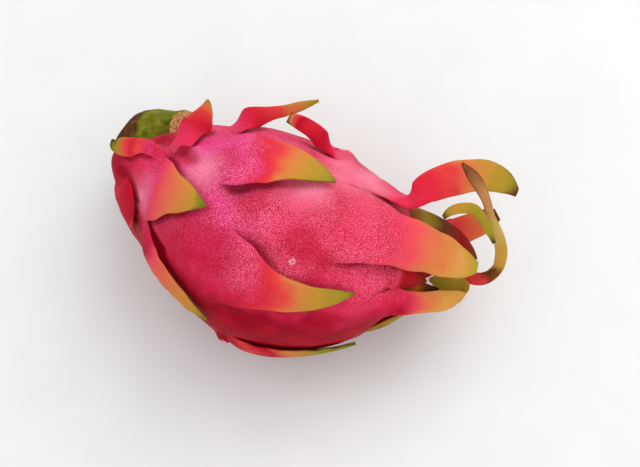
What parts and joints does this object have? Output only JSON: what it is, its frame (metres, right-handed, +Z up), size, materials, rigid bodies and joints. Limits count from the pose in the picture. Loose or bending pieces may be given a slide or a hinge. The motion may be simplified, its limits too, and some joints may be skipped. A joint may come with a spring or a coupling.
{
  "type": "dragon fruit",
  "caption": "Whole dragon fruit lying on its side: a plump egg-shaped fruit with leafy pointed scales, longer curled scales at the crown and a cut piece of stem at the other end.",
  "frame": {"origin": "centre of the small flat spot on the underside that the fruit rests on", "axes": "+Z up; +X along the fruit's length, from its stem end to its crown; +Y to the back, away from the viewer"},
  "size_m": [0.1613, 0.1022, 0.0798],
  "materials": {
    "fruit_skin": "satin",
    "scale_rose": "satin",
    "crown_olive": "satin",
    "stem_green": "satin"
  },
  "bodies": {
    "root": {"fruit_body": "fruit_skin", "stem_stub": "stem_green", "scale_stem_front": "scale_rose", "scale_stem_top": "scale_rose", "scale_stem_left": "scale_rose", "scale_stem_low": "scale_rose", "scale_stem_side": "scale_rose", "scale_stem_back": "scale_rose", "scale_stem_under": "scale_rose", "scale_stem_under_back": "scale_rose", "scale_top": "scale_rose", "scale_front": "scale_rose", "scale_low_front": "scale_rose", "scale_upper_back": "scale_rose", "scale_broken": "scale_rose", "scale_back": "scale_rose", "scale_low_back": "scale_rose", "crown_scale_front": "crown_olive", "crown_scale_top": "crown_olive", "crown_scale_behind_front": "crown_olive", "crown_scale_back_short": "crown_olive", "crown_scale_curled": "crown_olive", "crown_scale_thin": "crown_olive", "crown_scale_folded": "crown_olive", "crown_scale_rolled": "crown_olive", "crown_scale_dry": "crown_olive", "crown_scale_under_front": "crown_olive", "crown_scale_under": "crown_olive", "crown_scale_back": "crown_olive"}
  },
  "joints": []
}
